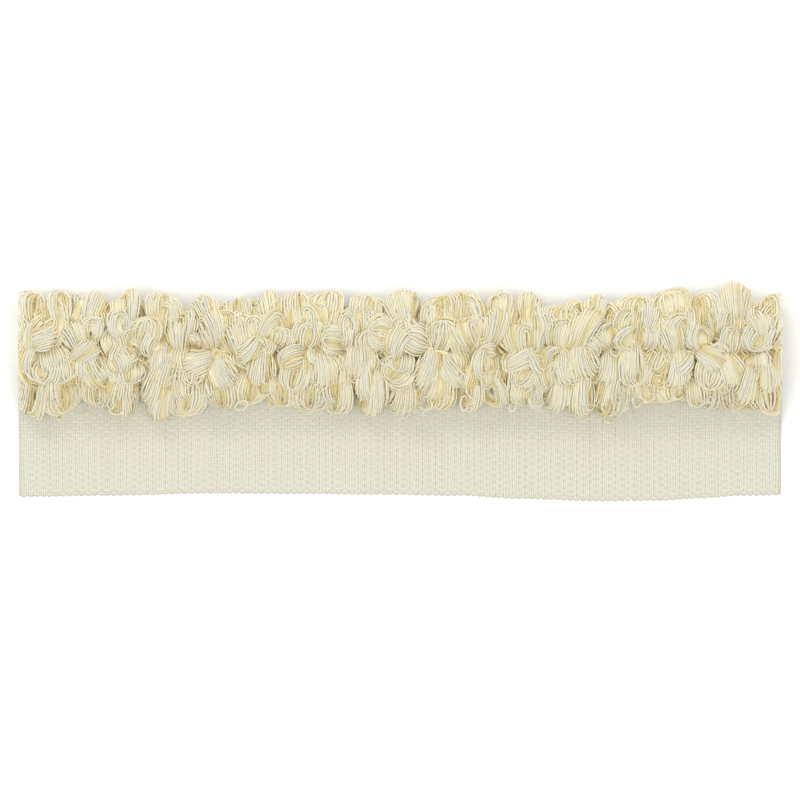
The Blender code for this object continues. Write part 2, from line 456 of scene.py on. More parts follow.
def add_mesh(name, points, faces, finish, uvs=None, shades=None):
    """An object with its UVs per corner and its shades per point."""
    mesh = bpy.data.meshes.new(name)
    mesh.from_pydata(points.tolist(), [], faces)
    if uvs is not None:
        mesh.uv_layers.new(name="UVMap").data.foreach_set("uv", np.asarray(uvs, np.float32).ravel())
    for shade, values in (shades or {}).items():
        mesh.attributes.new(shade, "FLOAT", "POINT").data.foreach_set("value", values.astype(np.float32))
    mesh.shade_smooth()
    mesh.materials.append(finish)
    made = bpy.data.objects.new(name, mesh)
    bpy.context.scene.collection.objects.link(made)
    return made


def tube_faces(count, steps, sides):
    """Faces of closed tubes: all their walls, then their first ends and their last ends."""
    index = np.arange(count * steps * sides).reshape(count, steps, sides)
    after = np.roll(index, -1, axis=2)
    walls = np.stack([index[:, :-1], after[:, :-1], after[:, 1:], index[:, 1:]], -1).reshape(-1, 4)
    return walls.tolist() + index[:, 0, ::-1].tolist() + index[:, -1].tolist()


def tube_uvs(paths, sides):
    """UVs of closed tubes: u once around, v in mm along, and all of an end's corners in one spot."""
    count, steps, _ = paths.shape
    gaps = np.linalg.norm(np.diff(paths, axis=1), axis=-1)
    run = np.concatenate([np.zeros((count, 1)), np.cumsum(gaps, axis=1)], axis=1)
    u_first = np.broadcast_to(np.arange(sides) / sides, (count, steps - 1, sides))
    u_after = u_first + 1 / sides
    v_low = np.broadcast_to(run[:, :-1, None], u_first.shape)
    v_high = np.broadcast_to(run[:, 1:, None], u_first.shape)
    corner_u = np.stack([u_first, u_after, u_after, u_first], -1)
    corner_v = np.stack([v_low, v_low, v_high, v_high], -1)
    walls = np.stack([corner_u, corner_v], -1).reshape(-1, 2)
    return np.concatenate([walls, np.zeros((2 * count * sides, 2))])


def tubes(name, paths, radii, tones, finish, sides=TUBE_SIDES, flat=1.0, painted_shade_shares=0.0):
    """One mesh of closed tubes along paths, in mm. radii and the shares of painted shade have a value for
    each point of a path.

    flat is a tube's height over its width. A tube's underside gets more painted shade than its top.
    """
    count, steps, _ = paths.shape
    along = unit(np.gradient(paths, axis=1))
    up = np.empty_like(paths)
    up[:, 0] = unit(np.cross(np.cross(along[:, 0], UP), along[:, 0]))
    for k in range(1, steps):
        carried = up[:, k - 1]
        up[:, k] = unit(carried - (carried * along[:, k]).sum(-1, keepdims=True) * along[:, k])
    side = np.cross(along, up)
    angles = 2 * math.pi * np.arange(sides) / sides
    ring = side[:, :, None] * np.cos(angles)[:, None] + up[:, :, None] * np.sin(angles)[:, None] * flat
    points = paths[:, :, None] + ring * radii[:, :, None, None]
    painted_shade_shares = np.broadcast_to(painted_shade_shares, (count, steps))[:, :, None]
    # Painted shade: the given share, and more on the tube's underside, where it faces down
    shades = {
        "tone": np.repeat(tones, steps * sides),
        "warm_painted_shade": np.clip(painted_shade_shares + UNDERSIDE_PAINTED_SHADE * (1 - ring[..., 2]) / 2, 0, 1).ravel(),
    }
    faces = tube_faces(count, steps, sides)
    return add_mesh(name, place(points.reshape(-1, 3)), faces, finish, tube_uvs(paths, sides), shades)


def closed_sheet(rows, columns, base):
    """Faces of a thin sheet: a grid of top points, then the same grid of bottom points, and its rim."""
    index = np.arange(rows * columns).reshape(rows, columns) + base
    quads = np.stack([index[:-1, :-1], index[1:, :-1], index[1:, 1:], index[:-1, 1:]], -1).reshape(-1, 4)
    shift = rows * columns
    faces = quads.tolist() + (quads[:, ::-1] + shift).tolist()
    rim = list(index[:, 0]) + list(index[-1, 1:]) + list(index[::-1, -1][1:]) + list(index[0, ::-1][1:-1])
    for a, b in zip(rim, rim[1:] + rim[:1]):
        faces.append([int(b), int(a), int(a + shift), int(b + shift)])
    return faces


def new_material(name, values):
    """A material whose shader has these values."""
    made = bpy.data.materials.new(name)
    made.use_nodes = True
    for socket, value in values.items():
        made.node_tree.nodes["Principled BSDF"].inputs[socket].default_value = value
    return made


def cloth_material(name, colours, roughness, sheen, ply, groove, blotch, glow):
    """Spun yarn: its colour varies from yarn to yarn and along it, and its plies wind round it."""
    made = new_material(name, {
        "Roughness": roughness,
        "Sheen Weight": sheen,
        "Sheen Roughness": SHEEN_ROUGHNESS,
        "Sheen Tint": SHEEN_TINT,
        "Specular IOR Level": SPECULAR,
        "Subsurface Weight": glow,
        "Subsurface Radius": (1.0, 1.0, 1.0),
        "Subsurface Scale": GLOW_DEPTH * MM,
    })
    where = made.node_tree.nodes.new("ShaderNodeTexCoord")
    add_colours(made, where, *colours, blotch)
    add_plies(made, where, ply, groove)
    return made


def add_colours(made, where, pale, dull, painted_shade_colour, blotch):
    """Colour from dull to pale by the yarn's tone and in patches, and from there to a painted shade colour
    by each point's share of painted shade.
    """
    nodes, links = made.node_tree.nodes, made.node_tree.links
    tone = nodes.new("ShaderNodeAttribute")
    tone.attribute_name = "tone"
    patches = nodes.new("ShaderNodeTexNoise")
    patches.inputs["Scale"].default_value = 1.0 / (blotch * MM)
    patches.inputs["Detail"].default_value = 3.0
    links.new(where.outputs["Object"], patches.inputs["Vector"])
    mixed = nodes.new("ShaderNodeMath")
    mixed.operation = "MULTIPLY_ADD"
    mixed.inputs[1].default_value = 0.5
    links.new(tone.outputs["Fac"], mixed.inputs[0])
    links.new(patches.outputs["Fac"], mixed.inputs[2])
    ramp = nodes.new("ShaderNodeValToRGB")
    ramp.color_ramp.elements[0].position = DULL_AT
    ramp.color_ramp.elements[0].color = (*dull, 1.0)
    ramp.color_ramp.elements[1].position = 1.0
    ramp.color_ramp.elements[1].color = (*pale, 1.0)
    links.new(mixed.outputs["Value"], ramp.inputs["Fac"])
    # Painted shade: each point's share of the shade colour
    within = nodes.new("ShaderNodeAttribute")
    within.attribute_name = "warm_painted_shade"
    painted_shade_mix = nodes.new("ShaderNodeMix")
    painted_shade_mix.data_type = "RGBA"
    painted_shade_mix.inputs["B"].default_value = (*painted_shade_colour, 1.0)
    links.new(within.outputs["Fac"], painted_shade_mix.inputs["Factor"])
    links.new(ramp.outputs["Color"], painted_shade_mix.inputs["A"])
    links.new(painted_shade_mix.outputs["Result"], nodes["Principled BSDF"].inputs["Base Color"])


def add_plies(made, where, ply, groove):
    """Grooves that wind round the yarn between its plies."""
    nodes, links = made.node_tree.nodes, made.node_tree.links
    stretch = nodes.new("ShaderNodeMapping")
    stretch.inputs["Scale"].default_value = (1.0, 1.0 / ply, 1.0)
    links.new(where.outputs["UV"], stretch.inputs["Vector"])
    wind = nodes.new("ShaderNodeTexWave")
    wind.wave_type = "BANDS"
    wind.bands_direction = "DIAGONAL"
    wind.inputs["Scale"].default_value = 1.0
    wind.inputs["Distortion"].default_value = GROOVE_UNEVEN
    wind.inputs["Detail"].default_value = 1.0
    links.new(stretch.outputs["Vector"], wind.inputs["Vector"])
    bump = nodes.new("ShaderNodeBump")
    bump.inputs["Strength"].default_value = GROOVE_STRENGTH
    bump.inputs["Distance"].default_value = groove * MM
    links.new(wind.outputs["Fac"], bump.inputs["Height"])
    links.new(bump.outputs["Normal"], nodes["Principled BSDF"].inputs["Normal"])


def smooth_noise(draw, count):
    """Smooth wandering in three directions along a yarn, from a few waves, with none at its ends."""
    at = np.linspace(0, 1, count)
    total = np.zeros((count, 3))
    for waves in (1, 2, 3.5, 6):
        for axis in range(3):
            height = draw.uniform(-1, 1) / waves
            total[:, axis] += height * np.sin(2 * math.pi * (waves * at + draw.random()))
    return total * np.sin(math.pi * at)[:, None]


def make_bundle(draw, root, middle, crown, size, gold_share):
    """The yarns of one looped bundle: its kind, and for each yarn its path, if it is gold, its tone
    and if it lies under others.

    The bundle leaves its root, arches by way of its middle to its crown and comes back. Its yarns lie
    in levels within the loop's plane and in layers across it, pinched together at the root.
    """
    kind = draw.choices(list(KINDS), [kind_values(name)["share"] for name in KINDS])[0]
    values = kind_values(kind)
    turn = math.radians(draw.uniform(*values["turn"])) * draw.choice((-1, 1))
    half = values["half"] * size * draw.uniform(*WIDTH_SHARES)
    centred = values["centred"]
    twist = math.radians(draw.uniform(-TWIST, TWIST)) * (1 - centred)
    dome = draw.uniform(*DOME)
    fan = values["fan"] * draw.uniform(*FAN_SHARES)
    side = unit(np.cross(UP, unit(crown - root)))
    long = np.linalg.norm(middle - root) + np.linalg.norm(crown - middle)

    # The course round the loop: how far out it is, how wide, how free of the pinch and how it winds.
    # The swell's peak is the most that its two sines make together.
    swell_peak = 0.77
    open_at_root = 0.12
    start = open_at_root * (1 - centred)
    theta = np.linspace(start, 2 * math.pi - start, LOOP_POINTS)
    out = (1 - np.cos(theta)) / 2
    swell = np.sin(theta) * (centred + (1 - centred) * np.sin(theta / 2) / swell_peak)
    pinch = centred + (1 - centred) * np.abs(np.sin(theta / 2)) ** fan
    swing = twist * (theta - math.pi) / math.pi
    winding = centred * (theta / (2 * math.pi) - 0.5) * draw.choice((-1, 1))

    levels, layers = values["levels"], values["layers"]
    slots = list(product(range(levels), range(layers)))
    slots += [(level + 1, layers - 1) for level in range(values["face"])]
    staggered = 0.5 if kind == "rose" else 0.0
    half_layers = max((layers - 1) / 2, 1)
    paths, tones = [], []
    bundle_tone = draw.random()
    for level, layer in slots:
        nested = level + winding + (staggered if layer == 0 else 0.0)
        inner = nested * values["level_pitch"] * half / values["half"] + draw.uniform(-SHIFT_IN, SHIFT_IN)
        off_middle = (layer - (layers - 1) / 2) / half_layers
        across = off_middle * half_layers * values["layer_pitch"] * size
        across = across + draw.uniform(-SHIFT_ACROSS, SHIFT_ACROSS) + dome * level
        rounding = min(layers, ROUND_LAYERS) / ROUND_LAYERS * off_middle ** 2
        inward = inner * np.cos(swing) + across * np.sin(swing)
        beside = across * np.cos(swing) - inner * np.sin(swing) * INNER_TWIST
        stray = draw.uniform(*STRAY_REACHES) if draw.random() < STRAYS else draw.uniform(*REACHES)
        shrink = np.clip(inward, 0, None) / long
        reach = stray * (1 - shrink) * (1 - ROUND_SHORTER * rounding)
        share = centred * shrink + (reach - centred * shrink) * out
        flat = swell * np.maximum(half - inward, NARROWEST)
        lift = beside * pinch
        over = flat * math.cos(turn) - lift * math.sin(turn)
        above = flat * math.sin(turn) + lift * math.cos(turn) - ROUND_LOWER * rounding * pinch
        above = above - CUPPED * centred * (2 * share - 1) ** 2
        share = share[:, None]
        spine = (1 - share) ** 2 * root + 2 * share * (1 - share) * middle + share ** 2 * crown
        heading = unit((1 - share) * (middle - root) + share * (crown - middle))
        normal = np.cross(heading, side)
        wobble = smooth_noise(draw, LOOP_POINTS) * WOBBLE
        paths.append(spine + side * over[:, None] + normal * above[:, None] + wobble)
        tones.append(TONE_IN_COMMON * bundle_tone + (1 - TONE_IN_COMMON) * draw.random())
    golds = gold_yarns(draw, kind, len(slots), gold_share)
    unders = [kind == "rose" and layer == 0 for level, layer in slots]
    return kind, paths, golds, tones, unders


def gold_yarns(draw, kind, count, gold_share):
    """Which yarns of a bundle are gold: some that lie side by side, often the inmost ones."""
    many = round(count * gold_share * draw.uniform(*GOLD_SHARES))
    inmost = kind != "coil" and draw.random() < GOLD_INMOST
    first = count - many if inmost else draw.randrange(count)
    return [(k - first) % count < many for k in range(count)]


def make_curl(draw):
    """One yarn that has slipped out: a small open loop with both its ends in the ruche."""
    from_end = 2.5
    by_rim = (-0.2, 2.6)
    lowest_y = -8.0
    from_top_edge = 2.5
    ends_past = 0.9
    sunk = 0.9
    ends_sunk = 1.4
    wobble = 0.35
    x = draw.uniform(-HALF + from_end, HALF - from_end)
    if draw.random() < CURLS_LOW:
        y = -reach_at(x, "low") + draw.uniform(*by_rim)
    else:
        y = draw.uniform(lowest_y, reach_at(x, "top") - from_top_edge)
    radius = draw.uniform(*CURL_RADII)
    turn = draw.uniform(0, 2 * math.pi)
    lean = math.radians(draw.uniform(*CURL_LEANS))
    across = heading_at(turn)
    rise = np.array([-math.sin(turn) * math.cos(lean), math.cos(turn) * math.cos(lean), math.sin(lean)])
    theta = np.linspace(-math.pi / 2 - ends_past, 1.5 * math.pi + ends_past, LOOP_POINTS)
    centre = np.array([x, y, top_at(y) - sunk])
    width = radius * draw.uniform(*CURL_WIDTHS)
    loop = centre + across * (np.cos(theta) * width)[:, None] + rise * (np.sin(theta) * radius)[:, None]
    ends = np.abs(np.linspace(-1, 1, LOOP_POINTS)) ** 4
    loop[:, 2] -= ends * ends_sunk
    return loop + smooth_noise(draw, LOOP_POINTS) * wobble


def petal_points(draw, values, x, pinches):
    """Root, middle and crown of the petal whose crown lies at x."""
    way = 1.0 if values["toward"] == "top" else -1.0
    wander_x, wander_y = ROOT_WANDER
    pinch_x, pinch_y = min(pinches, key=lambda pinch: abs(pinch[0] - x))
    root_x = x + (pinch_x - x) * values["pull"] + draw.uniform(-wander_x, wander_x)
    root_y = way * values["root_y"] + pinch_y * values["pull"] + draw.uniform(-wander_y, wander_y)
    if values["edge"]:
        tip_y = way * (reach_at(x, values["edge"]) + values["reach"] + draw.uniform(*EDGE_RAGGED))
    else:
        tip_y = way * values["reach"] * draw.uniform(*REACH_SHARES)
    raised = draw.uniform(*PETAL_RAISED)
    if values["depth"] is None:
        root_z, middle_z, crown_z = FLAT_HEIGHTS
        middle = np.array([(root_x + x) / 2, (root_y + tip_y) / 2, middle_z])
        return np.array([root_x, root_y, root_z]), middle, np.array([x, tip_y, crown_z])
    below = values["depth"] - raised
    tuck = values["tuck"]
    root = np.array([root_x, root_y, min(PINCH_HEIGHT, top_at(root_y) - below - ROOT_BELOW)])
    crown_z = max(top_at(tip_y) - below - CROWN_BELOW - tuck * TUCK_DOWN, LOWEST_CROWN)
    crown = np.array([x, tip_y - way * tuck * TUCK_IN, crown_z])
    half_y = (root_y + tip_y) / 2
    rise = 2 * (top_at(half_y) - below - MIDDLE_BELOW) - (root[2] + crown[2]) / 2
    middle_x = (root_x + x) / 2 + draw.uniform(-MIDDLE_WANDER, MIDDLE_WANDER)
    middle = np.array([middle_x, half_y + way * tuck * TUCK_OUT, max(rise, root[2])])
    return root, middle, crown


def pinch_places(draw):
    """Where the bundles are pinched, one past each end of the trim included."""
    pitch = LENGTH / PINCHES
    places = []
    for k in range(-1, PINCHES + 1):
        x = -HALF + (k + 0.5) * pitch + draw.uniform(-PINCH_SHIFT, PINCH_SHIFT) * pitch
        y = (1 if k % 2 else -1) * draw.uniform(*PINCH_WANDER_SHARES) * PINCH_WANDER
        places.append((x, y))
    return places


def row_bundles(draw, values, pinches):
    """The bundles of one row of petals. It runs past both ends of the trim, to be cut square."""
    pitch = LENGTH / values["count"]
    for k in range(-1, values["count"] + 1):
        x = -HALF + (k + 0.5 + values["phase"]) * pitch + draw.uniform(-PETAL_SHIFT, PETAL_SHIFT) * pitch
        root, middle, crown = petal_points(draw, values, x, pinches)
        size = values["size"] * draw.uniform(*PETAL_SIZES)
        yield (*make_bundle(draw, root, middle, crown, size, values["gold"]), values["shows"])


def crossing_bundles(draw):
    """Bundles that lie over the parting along the stitch line."""
    size = 0.9
    gold_share = 0.15
    crown_below = 1.6
    middle_below = 0.6
    top = top_at(0.0)
    for k in range(CROSSINGS):
        x = -HALF + (k + 0.5 + draw.uniform(-CROSSING_SHIFT, CROSSING_SHIFT)) * LENGTH / CROSSINGS
        heading = math.radians(draw.uniform(-CROSSING_SPREAD, CROSSING_SPREAD) + draw.choice((0, 180)))
        y = draw.uniform(-CROSSING_WANDER, CROSSING_WANDER)
        away = heading_at(heading) * CROSSING_LENGTH
        root = np.array([x, y, PINCH_HEIGHT]) - away / 2
        crown = np.array([x, y, top - crown_below]) + away / 2
        middle = np.array([x, y, 2 * top - (root[2] + crown[2]) / 2 - middle_below])
        yield (*make_bundle(draw, root, middle, crown, size, gold_share), True)


def bud_bundles(draw, pinches):
    """Small bundles that stand up from the pinches within the trim."""
    size = 0.6
    gold_share = 0.2
    middle_height = 3.4
    middle_away = 0.3
    wander_x, wander_y = BUD_WANDER
    for _ in range(BUDS):
        x, y = draw.choice(pinches[1:-1])
        root_x = x + draw.uniform(-wander_x, wander_x)
        root = np.array([root_x, y + draw.uniform(-wander_y, wander_y), PINCH_HEIGHT])
        away = heading_at(draw.uniform(0, 2 * math.pi)) * BUD_LENGTH
        crown = root + away + UP * BUD_HEIGHT
        middle = root + away * middle_away + UP * middle_height
        yield (*make_bundle(draw, root, middle, crown, size, gold_share), True)


def all_bundles(draw):
    """Every bundle of the ruche with whether it shows."""
    pinches = pinch_places(draw)
    for values in named_rows(ROWS, ROW_COLUMNS):
        yield from row_bundles(draw, values, pinches)
    yield from crossing_bundles(draw)
    yield from bud_bundles(draw, pinches)


def cell_pairs(points, cell):
    """Pairs of points that lie in the same or neighbouring cells."""
    spots = np.floor((points - points.min(0)) / cell).astype(np.int64) + 1
    wide = spots.max(0) + 2
    keys = (spots[:, 0] * wide[1] + spots[:, 1]) * wide[2] + spots[:, 2]
    order = np.argsort(keys, kind="stable")
    ranked = keys[order]
    ranks = np.arange(len(ranked))
    same = (0, 0, 0)
    firsts, seconds = [], []
    for step in product((-1, 0, 1), repeat=3):
        if step < same:
            continue
        wanted = ranked + (step[0] * wide[1] + step[1]) * wide[2] + step[2]
        low = ranks + 1 if step == same else np.searchsorted(ranked, wanted, "left")
        high = np.searchsorted(ranked, wanted, "right")
        many = np.maximum(high - low, 0)
        offset = np.arange(many.sum()) - np.repeat(np.cumsum(many) - many, many)
        firsts.append(order[np.repeat(ranks, many)])
        seconds.append(order[np.repeat(low, many) + offset])
    return np.concatenate(firsts), np.concatenate(seconds)


def settle(paths, radii, rounds):
    """Pushes yarns out of each other, out of the tape and off the surface, and keeps each one smooth.

    A yarn's two ends are sewn down and aren't pushed by other yarns. A point that many yarns push at
    once moves by less than their sum, which keeps it calm.
    """
    calming = 0.6
    count, steps, _ = paths.shape
    start = paths.copy()
    owner = np.repeat(np.arange(count), steps)
    reach = np.repeat(radii, steps)
    free = np.sin(np.linspace(0, math.pi, steps)) ** 0.5
    for _ in range(rounds):
        points = paths.reshape(-1, 3)
        first, second = cell_pairs(points, 2 * CREAM_RADIUS)
        other = owner[first] != owner[second]
        first, second = first[other], second[other]
        apart = points[first] - points[second]
        far = np.linalg.norm(apart, axis=1)
        overlap = reach[first] + reach[second] - far
        hit = (overlap > 0) & (far > 1e-6)
        first, second = first[hit], second[hit]
        push = apart[hit] / far[hit][:, None] * (overlap[hit] * 0.5)[:, None]
        moves = np.zeros_like(points)
        for axis in range(3):
            moves[:, axis] += np.bincount(first, push[:, axis], len(points))
            moves[:, axis] -= np.bincount(second, push[:, axis], len(points))
        hits = np.bincount(first, minlength=len(points)) + np.bincount(second, minlength=len(points))
        moves /= np.maximum(hits, 1)[:, None] ** calming
        shift = (points + moves).reshape(count, steps, 3) - start
        shift = smoothed(shift) * free[None, :, None]
        paths = kept_clear(start + shift, radii)
    return paths


def smoothed(shift):
    """One pass of evening out along each yarn."""
    out = shift.copy()
    out[:, 1:-1] = (shift[:, :-2] + 2 * shift[:, 1:-1] + shift[:, 2:]) / 4
    return out


def kept_clear(paths, radii):
    """Keeps yarns above the surface and on their own side of the tape, or on its face by the rim."""
    radius = radii[:, None]
    x, y, z = paths[..., 0], paths[..., 1], paths[..., 2]
    middle = tape_height(y)
    room = TAPE_YARN_HALF_HEIGHT + INTERLACE + radius
    over_flange = y < RIM_START
    near = (y < TAPE_HEAD) & (np.abs(z - middle) < room) | over_flange & (z < middle)
    side = np.where(over_flange | (z >= middle), 1.0, -1.0)
    z = np.where(near, middle + side * room, z)
    z = np.maximum(z, radius + SURFACE_GAP)
    return np.stack([x, y, z], -1)


def cut_square(paths):
    """Cuts the yarns off square at both ends of the trim. A loop cut through leaves loose stretches.

    Gives the stretches and the number of the yarn that each comes from.
    """
    limit = HALF - CREAM_RADIUS
    kept, owners = [], []
    even = np.linspace(0, 1, paths.shape[1])
    for owner, path in enumerate(paths):
        inside = np.abs(path[:, 0]) < limit
        turns = np.flatnonzero(np.diff(np.concatenate([[0], inside, [0]]).astype(int)))
        for start, stop in turns.reshape(-1, 2):
            if stop - start < SHORTEST_STRETCH:
                continue
            stretch = path[start:stop]
            knots = np.arange(len(stretch))
            at = even * (len(stretch) - 1)
            kept.append(np.stack([np.interp(at, knots, stretch[:, k]) for k in range(3)], -1))
            owners.append(owner)
    return np.array(kept), np.array(owners)


def make_feed(finishes):
    """Yarns that run along the inside of the roll, twisted about each other like a slack rope."""
    from_end = 0.2
    height = PINCH_HEIGHT + 0.6
    steady = np.random.default_rng(SEED + 1)
    x = np.linspace(-HALF + from_end, HALF - from_end, FEED_POINTS)
    paths, golds = [], []
    for ring in named_rows(FEED, FEED_COLUMNS):
        for order in range(ring["count"]):
            sway = 0.5 * np.sin(x * 0.4 + order)
            swell = 1 + 0.12 * np.sin(x * 0.9 + order * 2.1)
            angle = 2 * math.pi * (order / ring["count"] + x / ring["lead"]) + sway
            radius = ring["radius"] * swell
            y = radius * np.cos(angle) * FEED_WIDER
            z = height + radius * np.sin(angle) * FEED_FLATTER
            paths.append(np.stack([x, y, z], -1))
            golds.append(order % 3 == 0)
    paths, golds = np.array(paths), np.array(golds)
    tones = steady.uniform(0, 1, len(paths))
    sizes = np.full(paths.shape[:2], CREAM_RADIUS * FEED_THICKER)
    # Painted shade: the yarns inside the roll take the shade colour in full
    return [
        tubes("feed_cream", paths[~golds], sizes[~golds], tones[~golds], finishes["cream"], painted_shade_shares=1.0),
        tubes("feed_gold", paths[golds], sizes[golds], tones[golds], finishes["gold"], painted_shade_shares=1.0),
    ]


def make_fuzz(paths, finish):
    """Fine loose fibres that stand out of the yarns, thickest in a few patches by the lower rim."""
    from_end = 3.0
    lowest_start = 2.0
    below_top_rim = 7.5
    lowest = 0.6
    bent = 0.9
    upward = 0.6
    thinning = (1.2, 0.5)
    steady = np.random.default_rng(SEED + 2)
    points = paths[:, LOOP_POINTS // 4:3 * LOOP_POINTS // 4].reshape(-1, 3)
    within = (np.abs(points[:, 0]) < HALF - from_end) & (points[:, 1] < below_top_rim)
    points = points[within & (points[:, 2] > lowest_start)]
    starts = [points[steady.integers(0, len(points), FUZZ)]]
    for patch in range(FUZZ_PATCHES):
        x = -HALF + (patch + steady.uniform(0.2, 0.8)) * LENGTH / FUZZ_PATCHES
        y = -reach_at(x, "low") + steady.uniform(0.5, 2.5)
        near = points[np.hypot(points[:, 0] - x, points[:, 1] - y) < FUZZ_SPREAD]
        starts.append(near[steady.integers(0, len(near), FUZZ_IN_PATCH)])
    start = np.concatenate(starts)
    count = len(start)
    along = unit(steady.normal(size=(count, 3)) + UP * upward)
    bend = steady.normal(size=(count, 3)) * bent
    length = steady.uniform(*FIBRE_LENGTHS, (count, 1, 1))
    at = np.linspace(0, 1, FIBRE_POINTS)[None, :, None]
    fibres = start[:, None] + (along[:, None] * at + bend[:, None] * at ** 2) * length
    fibres[..., 2] = np.maximum(fibres[..., 2], lowest)
    sizes = np.full((count, FIBRE_POINTS), FIBRE_RADIUS) * np.linspace(*thinning, FIBRE_POINTS)
    return tubes("loose_fibres", fibres, sizes, steady.uniform(0.5, 1, count), finish, sides=3)


def depths_of(paths):
    """How far each point lies below the highest yarns about it, as a share of the full depth of painted
    shade.
    """
    cell = 0.8
    highest = 3
    spots = np.floor(paths[..., :2] / cell).astype(int)
    spots -= spots.reshape(-1, 2).min(0) - 1
    tops = np.zeros(spots.reshape(-1, 2).max(0) + 2)
    np.maximum.at(tops, (spots[..., 0], spots[..., 1]), paths[..., 2])
    wide = np.pad(tops, 1)
    around = [wide[i:i + tops.shape[0], j:j + tops.shape[1]] for i, j in product(range(3), repeat=2)]
    level = np.sort(np.array(around), axis=0)[-highest:].mean(0)
    below = np.clip(level[spots[..., 0], spots[..., 1]] - paths[..., 2], 0, None)
    return 1 - np.exp(-below / PAINTED_SHADE_DEPTH)


def felt_rows(kind, paths):
    """Rows of points just under the yarns that show of one bundle, from its settled paths."""
    values = kind_values(kind)
    if kind == "rose":
        rows = paths.reshape(values["levels"], values["layers"], -1, 3)[:, 0]
    else:
        rows = paths[:values["layers"]]
        rows = rows[list(range(0, len(rows) - 1, 2)) + [len(rows) - 1]]
        rows = rows + unit(paths.reshape(-1, 3).mean(0) - rows) * FELT_WITHIN
    hub = np.broadcast_to(rows[-1].mean(0), rows[-1].shape)
    return np.concatenate([rows, hub[None]])[:, ::TUBE_STEP]


def make_felt(name, grids, tones, finish):
    """One mesh of closed thin pads, one for each grid of points."""
    points, faces, shades = [], [], []
    base = 0
    for grid, tone in zip(grids, tones):
        rows, columns, _ = grid.shape
        normal = unit(np.cross(np.gradient(grid, axis=0), np.gradient(grid, axis=1)) + 1e-9)
        pad = np.stack([grid + normal * FELT_THICKNESS / 2, grid - normal * FELT_THICKNESS / 2])
        faces += closed_sheet(rows, columns, base)
        base += 2 * rows * columns
        points.append(pad.reshape(-1, 3))
        shades.append(np.full(2 * rows * columns, tone))
    points = np.concatenate(points)
    points[:, 2] = np.maximum(points[:, 2], CREAM_RADIUS)
    # Painted shade: the packed fibre takes a set share of the shade colour
    shades = {"tone": np.concatenate(shades), "warm_painted_shade": np.full(len(points), FELT_PAINTED_SHADE)}
    return add_mesh(name, place(points), faces, finish, shades=shades)


def gathered_yarns(draw):
    """The path of every yarn, what else each yarn is, and the yarns that each bundle has."""
    paths, golds, tones, lower, shows, bundles = [], [], [], [], [], []
    for kind, bundle, gold, tone, unders, seen in all_bundles(draw):
        bundles.append((kind, slice(len(paths), len(paths) + len(bundle)), seen))
        paths += bundle
        golds += gold
        tones += tone
        lower += unders
        shows += [seen] * len(bundle)
    for _ in range(CURLS):
        paths.append(make_curl(draw))
        golds.append(draw.random() < CURLS_GOLD)
        tones.append(draw.random())
        lower.append(False)
        shows.append(True)
    yarns = {"gold": golds, "tone": tones, "lower": lower, "shows": shows}
    return np.array(paths), {name: np.array(values) for name, values in yarns.items()}, bundles


def yarn_pieces(paths, radii, painted_shade_shares, yarns, finishes):
    """The yarns' tubes in pieces: showing and hidden, cream and gold."""
    pieces = []
    for name, chosen, finish in (
        ("cream_front", yarns["shows"] & ~yarns["gold"], "cream"),
        ("gold_front", yarns["shows"] & yarns["gold"], "gold"),
        ("cream_back", ~yarns["shows"] & ~yarns["gold"], "cream"),
        ("gold_back", ~yarns["shows"] & yarns["gold"], "gold"),
    ):
        rank = np.flatnonzero(chosen)
        for part, start in enumerate(range(0, len(rank), YARNS_IN_PIECE)):
            rows = rank[start:start + YARNS_IN_PIECE]
            # depth here is each point's share of the painted shade
            course, sizes, depth = (values[rows][:, ::TUBE_STEP] for values in (paths, radii, painted_shade_shares))
            pieces.append(tubes(
                f"{name}_{part + 1}", course, sizes, yarns["tone"][rows], finishes[finish], painted_shade_shares=depth))
    return pieces


def make_ruche(finishes):
    """All the bundles, settled together and cut square, with the fibre packed within them and the fuzz."""
    from_end = 0.3
    paths, yarns, bundles = gathered_yarns(random.Random(SEED))
    radii = np.where(yarns["gold"], GOLD_RADIUS, CREAM_RADIUS)
    paths = settle(kept_clear(paths, radii), radii, ROUNDS)
    grids = []
    for kind, members, seen in bundles:
        if seen and np.abs(paths[members][..., 0]).max() < HALF - from_end:
            grids.append(felt_rows(kind, paths[members]))
    paths, owners = cut_square(paths)
    yarns = {name: values[owners] for name, values in yarns.items()}
    steady = np.random.default_rng(SEED)
    # Painted shade: each point's share, by how far it lies below the yarns about it, and more for the lower
    # yarns of a rose
    painted_shade_shares = np.maximum(depths_of(paths), yarns["lower"][:, None] * LOWER_PAINTED_SHADE)
    starts = steady.uniform(*SLUB_STARTS, (len(paths), 1))
    slub = 1 + SLUB * np.sin(starts + np.linspace(0, SLUB_RADIANS, LOOP_POINTS)[None])
    pieces = make_feed(finishes)
    pieces.append(make_felt("packed_fibre", grids, steady.uniform(0, 1, len(grids)), finishes["straw"]))
    pieces.append(make_fuzz(paths[yarns["shows"] & ~yarns["gold"]], finishes["loose"]))
    sizes = radii[owners, None] * slub * TUBE_SHARE
    pieces += yarn_pieces(paths, sizes, painted_shade_shares, yarns, finishes)
    for piece in pieces:
        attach(piece, "root")
        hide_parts("looped_ruche")


def warp_y(x, order, warps):
    """Distance of a warp from the stitch line at x. The outer warps follow the tape's wandering edge."""
    wander = (tape_edge(x) - tape_edge(0.0)) * (1 - WANDER_LOST * order / warps)
    return -tape_edge(0.0) - wander + (order + 0.5) * WARP_PITCH


def tape_yarns(name, paths, half_width, spread, steady, finish):
    """Flat yarns of the tape, whose widths differ by the spread's shares."""
    paths = np.array(paths)
    sizes = half_width * steady.uniform(*spread, (len(paths), 1)) * np.ones(paths.shape[1])
    flat = TAPE_YARN_HALF_HEIGHT / half_width
    return tubes(name, paths, sizes, steady.uniform(0, 1, len(paths)), finish, flat=flat)


